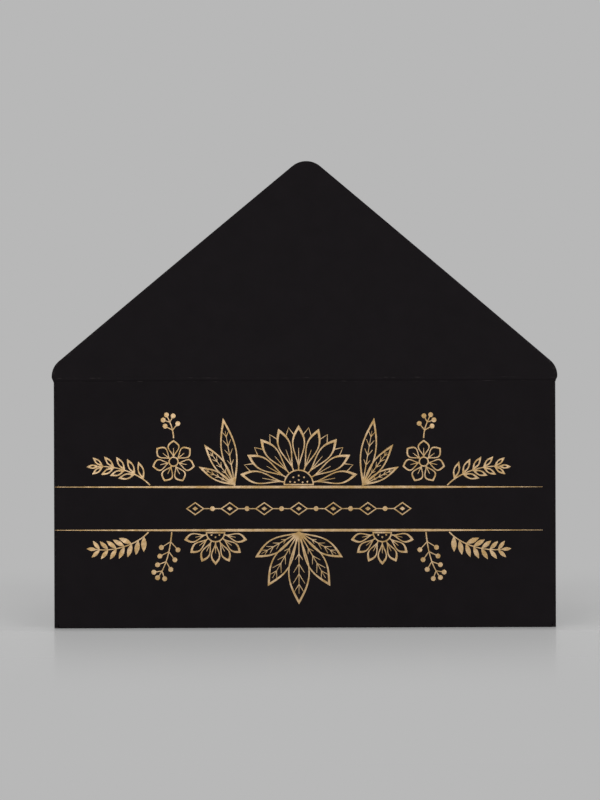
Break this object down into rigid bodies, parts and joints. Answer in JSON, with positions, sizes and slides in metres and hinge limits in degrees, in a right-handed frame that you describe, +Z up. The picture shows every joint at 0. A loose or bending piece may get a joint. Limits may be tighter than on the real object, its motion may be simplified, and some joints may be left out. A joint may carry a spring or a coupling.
{
  "type": "money envelope",
  "caption": "Slim matt black card envelope for gift money, standing with its pointed flap open; gold foil garland between two rules on the front; the flap closes over the back.",
  "frame": {"origin": "under the middle of the flat bottom fold, on the surface that the envelope stands on", "axes": "+Z up from the bottom fold to the crease of the flap, -Y out of the printed front, +X to the right of the printed front"},
  "size_m": [0.1662, 0.0095, 0.1536],
  "materials": {
    "black_card": "matt",
    "gold_foil": "satin gold hot foil",
    "clear_glue": "dried clear adhesive"
  },
  "bodies": {
    "pocket": {"front_panel": "black_card", "back_panel": "black_card", "bottom_fold": "black_card", "left_side_fold": "black_card", "right_side_fold": "black_card", "left_glue_tab": "black_card", "right_glue_tab": "black_card", "left_glue_line": "clear_glue", "right_glue_line": "clear_glue", "flap_crease": "black_card", "upper_rule_foil": "gold_foil", "lower_rule_foil": "gold_foil", "rosette_foil": "gold_foil", "palmette_foil": "gold_foil", "chain_foil": "gold_foil", "left_fan_foil": "gold_foil", "left_blossom_foil": "gold_foil", "left_sprig_foil": "gold_foil", "left_laurel_foil": "gold_foil", "left_daisy_foil": "gold_foil", "left_twig_foil": "gold_foil", "left_frond_foil": "gold_foil", "right_fan_foil": "gold_foil", "right_blossom_foil": "gold_foil", "right_sprig_foil": "gold_foil", "right_laurel_foil": "gold_foil", "right_daisy_foil": "gold_foil", "right_twig_foil": "gold_foil", "right_frond_foil": "gold_foil"},
    "flap": {"flap": "black_card"}
  },
  "joints": [
    {"name": "flap_hinge", "type": "hinge", "parent": "pocket", "child": "flap", "pos_m": [0, 0.00032, 0.0816], "axis": [-1, 0, 0], "range_deg": [0, 174]}
  ]
}
